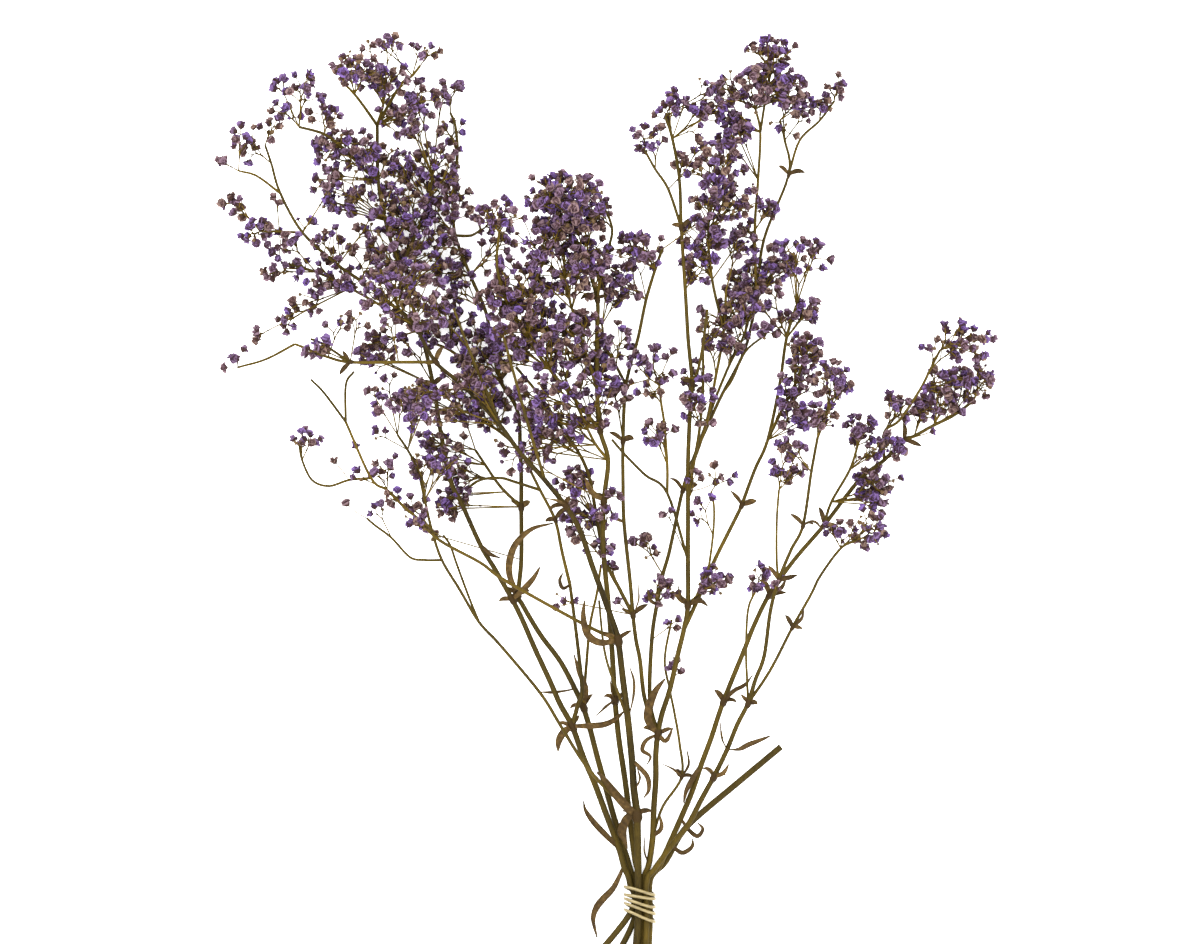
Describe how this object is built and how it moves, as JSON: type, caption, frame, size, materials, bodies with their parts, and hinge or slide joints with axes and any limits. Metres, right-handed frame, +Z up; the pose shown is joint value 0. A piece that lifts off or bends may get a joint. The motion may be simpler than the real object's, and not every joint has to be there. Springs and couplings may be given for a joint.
{
  "type": "dried gypsophila bunch",
  "caption": "Tied bunch of dried gypsophila lying on its side: branching dried stems, curled leaves, loose heads of tiny florets and a wound natural band.",
  "frame": {"origin": "middle of the tie's flat underside, on the surface that the bunch lies on", "axes": "+Y from the tie towards the flower heads, +X to the viewer's right, +Z up from the surface"},
  "size_m": [0.5551, 0.7191, 0.1196],
  "materials": {
    "dried_stem": "dry matte",
    "dried_floret": "papery matte",
    "dried_leaf": "dry matte",
    "band": "satin"
  },
  "bodies": {
    "root": {"left_outer": "dried_stem", "left_second": "dried_stem", "centre": "dried_stem", "mid_crown": "dried_stem", "tall_right": "dried_stem", "right_spray": "dried_stem", "right_mid": "dried_stem", "cut_stem": "dried_stem", "tie": "band"}
  },
  "joints": []
}
